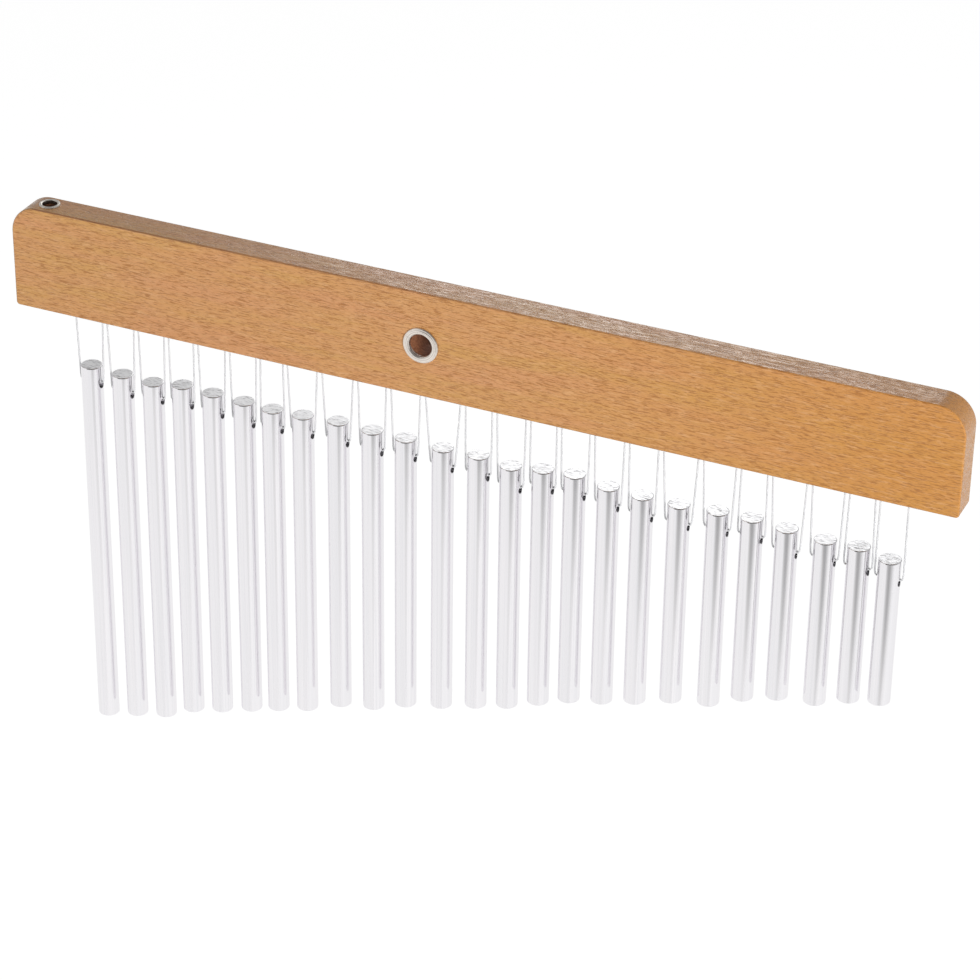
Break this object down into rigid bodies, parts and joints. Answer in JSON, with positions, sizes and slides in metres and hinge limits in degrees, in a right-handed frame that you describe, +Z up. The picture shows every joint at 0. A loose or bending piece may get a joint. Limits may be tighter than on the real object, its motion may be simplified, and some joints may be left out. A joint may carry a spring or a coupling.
{
  "type": "bar chimes",
  "caption": "Wooden beam with a single row of graded solid metal bars, each hung on a loop of clear line, swung or strummed to ring; eyeleted holes take a stand or a cord.",
  "frame": {"origin": "middle of the stand hole, on its axis and at the beam's mid-depth", "axes": "+X along the beam towards the short bars, -Y out of the front face, +Z up"},
  "size_m": [0.4, 0.0152, 0.2394],
  "materials": {
    "beech": "varnished",
    "aluminium": "drawn and polished",
    "bright_metal": "bright plated",
    "clear_line": "clear",
    "peg_wood": "raw"
  },
  "bodies": {
    "frame": {"beam": "beech", "front_eyelet": "bright_metal", "rear_eyelet": "bright_metal", "top_eyelet": "bright_metal", "bottom_eyelet": "bright_metal", "line_bights": "clear_line", "line_pegs": "peg_wood"},
    "line_01": {"line_loop_01": "clear_line"},
    "chime_01": {"bar_01": "aluminium"},
    "line_02": {"line_loop_02": "clear_line"},
    "chime_02": {"bar_02": "aluminium"},
    "line_03": {"line_loop_03": "clear_line"},
    "chime_03": {"bar_03": "aluminium"},
    "line_04": {"line_loop_04": "clear_line"},
    "chime_04": {"bar_04": "aluminium"},
    "line_05": {"line_loop_05": "clear_line"},
    "chime_05": {"bar_05": "aluminium"},
    "line_06": {"line_loop_06": "clear_line"},
    "chime_06": {"bar_06": "aluminium"},
    "line_07": {"line_loop_07": "clear_line"},
    "chime_07": {"bar_07": "aluminium"},
    "line_08": {"line_loop_08": "clear_line"},
    "chime_08": {"bar_08": "aluminium"},
    "line_09": {"line_loop_09": "clear_line"},
    "chime_09": {"bar_09": "aluminium"},
    "line_10": {"line_loop_10": "clear_line"},
    "chime_10": {"bar_10": "aluminium"},
    "line_11": {"line_loop_11": "clear_line"},
    "chime_11": {"bar_11": "aluminium"},
    "line_12": {"line_loop_12": "clear_line"},
    "chime_12": {"bar_12": "aluminium"},
    "line_13": {"line_loop_13": "clear_line"},
    "chime_13": {"bar_13": "aluminium"},
    "line_14": {"line_loop_14": "clear_line"},
    "chime_14": {"bar_14": "aluminium"},
    "line_15": {"line_loop_15": "clear_line"},
    "chime_15": {"bar_15": "aluminium"},
    "line_16": {"line_loop_16": "clear_line"},
    "chime_16": {"bar_16": "aluminium"},
    "line_17": {"line_loop_17": "clear_line"},
    "chime_17": {"bar_17": "aluminium"},
    "line_18": {"line_loop_18": "clear_line"},
    "chime_18": {"bar_18": "aluminium"},
    "line_19": {"line_loop_19": "clear_line"},
    "chime_19": {"bar_19": "aluminium"},
    "line_20": {"line_loop_20": "clear_line"},
    "chime_20": {"bar_20": "aluminium"},
    "line_21": {"line_loop_21": "clear_line"},
    "chime_21": {"bar_21": "aluminium"},
    "line_22": {"line_loop_22": "clear_line"},
    "chime_22": {"bar_22": "aluminium"},
    "line_23": {"line_loop_23": "clear_line"},
    "chime_23": {"bar_23": "aluminium"},
    "line_24": {"line_loop_24": "clear_line"},
    "chime_24": {"bar_24": "aluminium"},
    "line_25": {"line_loop_25": "clear_line"},
    "chime_25": {"bar_25": "aluminium"}
  },
  "joints": [
    {"name": "swing_01", "type": "hinge", "parent": "frame", "child": "line_01", "pos_m": [-0.1518, 0, -0.02295], "axis": [1, 0, 0], "range_deg": [-75, 75]},
    {"name": "swing_02", "type": "hinge", "parent": "frame", "child": "line_02", "pos_m": [-0.1374, 0, -0.02295], "axis": [1, 0, 0], "range_deg": [-75, 75]},
    {"name": "swing_03", "type": "hinge", "parent": "frame", "child": "line_03", "pos_m": [-0.12325, 0, -0.02295], "axis": [1, 0, 0], "range_deg": [-75, 75]},
    {"name": "swing_04", "type": "hinge", "parent": "frame", "child": "line_04", "pos_m": [-0.1096, 0, -0.02295], "axis": [1, 0, 0], "range_deg": [-75, 75]},
    {"name": "swing_05", "type": "hinge", "parent": "frame", "child": "line_05", "pos_m": [-0.0957, 0, -0.02295], "axis": [1, 0, 0], "range_deg": [-75, 75]},
    {"name": "swing_06", "type": "hinge", "parent": "frame", "child": "line_06", "pos_m": [-0.08155, 0, -0.02295], "axis": [1, 0, 0], "range_deg": [-75, 75]},
    {"name": "swing_07", "type": "hinge", "parent": "frame", "child": "line_07", "pos_m": [-0.06865, 0, -0.02295], "axis": [1, 0, 0], "range_deg": [-75, 75]},
    {"name": "swing_08", "type": "hinge", "parent": "frame", "child": "line_08", "pos_m": [-0.055, 0, -0.02295], "axis": [1, 0, 0], "range_deg": [-75, 75]},
    {"name": "swing_09", "type": "hinge", "parent": "frame", "child": "line_09", "pos_m": [-0.03935, 0, -0.02295], "axis": [1, 0, 0], "range_deg": [-75, 75]},
    {"name": "swing_10", "type": "hinge", "parent": "frame", "child": "line_10", "pos_m": [-0.0242, 0, -0.02295], "axis": [1, 0, 0], "range_deg": [-75, 75]},
    {"name": "swing_11", "type": "hinge", "parent": "frame", "child": "line_11", "pos_m": [-0.00955, 0, -0.02295], "axis": [1, 0, 0], "range_deg": [-75, 75]},
    {"name": "swing_12", "type": "hinge", "parent": "frame", "child": "line_12", "pos_m": [0.0066, 0, -0.02295], "axis": [1, 0, 0], "range_deg": [-75, 75]},
    {"name": "swing_13", "type": "hinge", "parent": "frame", "child": "line_13", "pos_m": [0.022, 0, -0.02295], "axis": [1, 0, 0], "range_deg": [-75, 75]},
    {"name": "swing_14", "type": "hinge", "parent": "frame", "child": "line_14", "pos_m": [0.0359, 0, -0.02295], "axis": [1, 0, 0], "range_deg": [-75, 75]},
    {"name": "swing_15", "type": "hinge", "parent": "frame", "child": "line_15", "pos_m": [0.04955, 0, -0.02295], "axis": [1, 0, 0], "range_deg": [-75, 75]},
    {"name": "swing_16", "type": "hinge", "parent": "frame", "child": "line_16", "pos_m": [0.06295, 0, -0.02295], "axis": [1, 0, 0], "range_deg": [-75, 75]},
    {"name": "swing_17", "type": "hinge", "parent": "frame", "child": "line_17", "pos_m": [0.0771, 0, -0.02295], "axis": [1, 0, 0], "range_deg": [-75, 75]},
    {"name": "swing_18", "type": "hinge", "parent": "frame", "child": "line_18", "pos_m": [0.09125, 0, -0.02295], "axis": [1, 0, 0], "range_deg": [-75, 75]},
    {"name": "swing_19", "type": "hinge", "parent": "frame", "child": "line_19", "pos_m": [0.1064, 0, -0.02295], "axis": [1, 0, 0], "range_deg": [-75, 75]},
    {"name": "swing_20", "type": "hinge", "parent": "frame", "child": "line_20", "pos_m": [0.1223, 0, -0.02295], "axis": [1, 0, 0], "range_deg": [-75, 75]},
    {"name": "swing_21", "type": "hinge", "parent": "frame", "child": "line_21", "pos_m": [0.1362, 0, -0.02295], "axis": [1, 0, 0], "range_deg": [-75, 75]},
    {"name": "swing_22", "type": "hinge", "parent": "frame", "child": "line_22", "pos_m": [0.15035, 0, -0.02295], "axis": [1, 0, 0], "range_deg": [-75, 75]},
    {"name": "swing_23", "type": "hinge", "parent": "frame", "child": "line_23", "pos_m": [0.16575, 0, -0.02295], "axis": [1, 0, 0], "range_deg": [-75, 75]},
    {"name": "swing_24", "type": "hinge", "parent": "frame", "child": "line_24", "pos_m": [0.17915, 0, -0.02295], "axis": [1, 0, 0], "range_deg": [-75, 75]},
    {"name": "swing_25", "type": "hinge", "parent": "frame", "child": "line_25", "pos_m": [0.19155, 0, -0.02295], "axis": [1, 0, 0], "range_deg": [-75, 75]},
    {"name": "rock_01", "type": "hinge", "parent": "line_01", "child": "chime_01", "pos_m": [-0.1518, 0, -0.05365], "axis": [0, 1, 0], "range_deg": [-1.8, 1.8]},
    {"name": "rock_02", "type": "hinge", "parent": "line_02", "child": "chime_02", "pos_m": [-0.1374, 0, -0.05515], "axis": [0, 1, 0], "range_deg": [-1.8, 1.8]},
    {"name": "rock_03", "type": "hinge", "parent": "line_03", "child": "chime_03", "pos_m": [-0.12325, 0, -0.05465], "axis": [0, 1, 0], "range_deg": [-1.6, 1.8]},
    {"name": "rock_04", "type": "hinge", "parent": "line_04", "child": "chime_04", "pos_m": [-0.1096, 0, -0.05365], "axis": [0, 1, 0], "range_deg": [-1.8, 1.6]},
    {"name": "rock_05", "type": "hinge", "parent": "line_05", "child": "chime_05", "pos_m": [-0.0957, 0, -0.05465], "axis": [0, 1, 0], "range_deg": [-1.9, 1.8]},
    {"name": "rock_06", "type": "hinge", "parent": "line_06", "child": "chime_06", "pos_m": [-0.08155, 0, -0.05565], "axis": [0, 1, 0], "range_deg": [-1.5, 2]},
    {"name": "rock_07", "type": "hinge", "parent": "line_07", "child": "chime_07", "pos_m": [-0.06865, 0, -0.05515], "axis": [0, 1, 0], "range_deg": [-1.9, 1.5]},
    {"name": "rock_08", "type": "hinge", "parent": "line_08", "child": "chime_08", "pos_m": [-0.055, 0, -0.05415], "axis": [0, 1, 0], "range_deg": [-2.8, 1.8]},
    {"name": "rock_09", "type": "hinge", "parent": "line_09", "child": "chime_09", "pos_m": [-0.03935, 0, -0.05415], "axis": [0, 1, 0], "range_deg": [-2.7, 2.8]},
    {"name": "rock_10", "type": "hinge", "parent": "line_10", "child": "chime_10", "pos_m": [-0.0242, 0, -0.05465], "axis": [0, 1, 0], "range_deg": [-2.6, 2.7]},
    {"name": "rock_11", "type": "hinge", "parent": "line_11", "child": "chime_11", "pos_m": [-0.00955, 0, -0.05365], "axis": [0, 1, 0], "range_deg": [-3.4, 2.6]},
    {"name": "rock_12", "type": "hinge", "parent": "line_12", "child": "chime_12", "pos_m": [0.0066, 0, -0.05465], "axis": [0, 1, 0], "range_deg": [-3.2, 3.4]},
    {"name": "rock_13", "type": "hinge", "parent": "line_13", "child": "chime_13", "pos_m": [0.022, 0, -0.05465], "axis": [0, 1, 0], "range_deg": [-2.5, 3.2]},
    {"name": "rock_14", "type": "hinge", "parent": "line_14", "child": "chime_14", "pos_m": [0.0359, 0, -0.05665], "axis": [0, 1, 0], "range_deg": [-2.5, 2.5]},
    {"name": "rock_15", "type": "hinge", "parent": "line_15", "child": "chime_15", "pos_m": [0.04955, 0, -0.05365], "axis": [0, 1, 0], "range_deg": [-2.4, 2.4]},
    {"name": "rock_16", "type": "hinge", "parent": "line_16", "child": "chime_16", "pos_m": [0.06295, 0, -0.05315], "axis": [0, 1, 0], "range_deg": [-3, 2.4]},
    {"name": "rock_17", "type": "hinge", "parent": "line_17", "child": "chime_17", "pos_m": [0.0771, 0, -0.05465], "axis": [0, 1, 0], "range_deg": [-3.2, 3]},
    {"name": "rock_18", "type": "hinge", "parent": "line_18", "child": "chime_18", "pos_m": [0.09125, 0, -0.05565], "axis": [0, 1, 0], "range_deg": [-4.1, 3.2]},
    {"name": "rock_19", "type": "hinge", "parent": "line_19", "child": "chime_19", "pos_m": [0.1064, 0, -0.05565], "axis": [0, 1, 0], "range_deg": [-4.5, 4.1]},
    {"name": "rock_20", "type": "hinge", "parent": "line_20", "child": "chime_20", "pos_m": [0.1223, 0, -0.05415], "axis": [0, 1, 0], "range_deg": [-3.6, 4.5]},
    {"name": "rock_21", "type": "hinge", "parent": "line_21", "child": "chime_21", "pos_m": [0.1362, 0, -0.05365], "axis": [0, 1, 0], "range_deg": [-4, 3.5]},
    {"name": "rock_22", "type": "hinge", "parent": "line_22", "child": "chime_22", "pos_m": [0.15035, 0, -0.05665], "axis": [0, 1, 0], "range_deg": [-4.5, 4.2]},
    {"name": "rock_23", "type": "hinge", "parent": "line_23", "child": "chime_23", "pos_m": [0.16575, 0, -0.05615], "axis": [0, 1, 0], "range_deg": [-3.9, 4.5]},
    {"name": "rock_24", "type": "hinge", "parent": "line_24", "child": "chime_24", "pos_m": [0.17915, 0, -0.05665], "axis": [0, 1, 0], "range_deg": [-3.1, 3.9]},
    {"name": "rock_25", "type": "hinge", "parent": "line_25", "child": "chime_25", "pos_m": [0.19155, 0, -0.05815], "axis": [0, 1, 0], "range_deg": [-3.2, 3.2]}
  ]
}
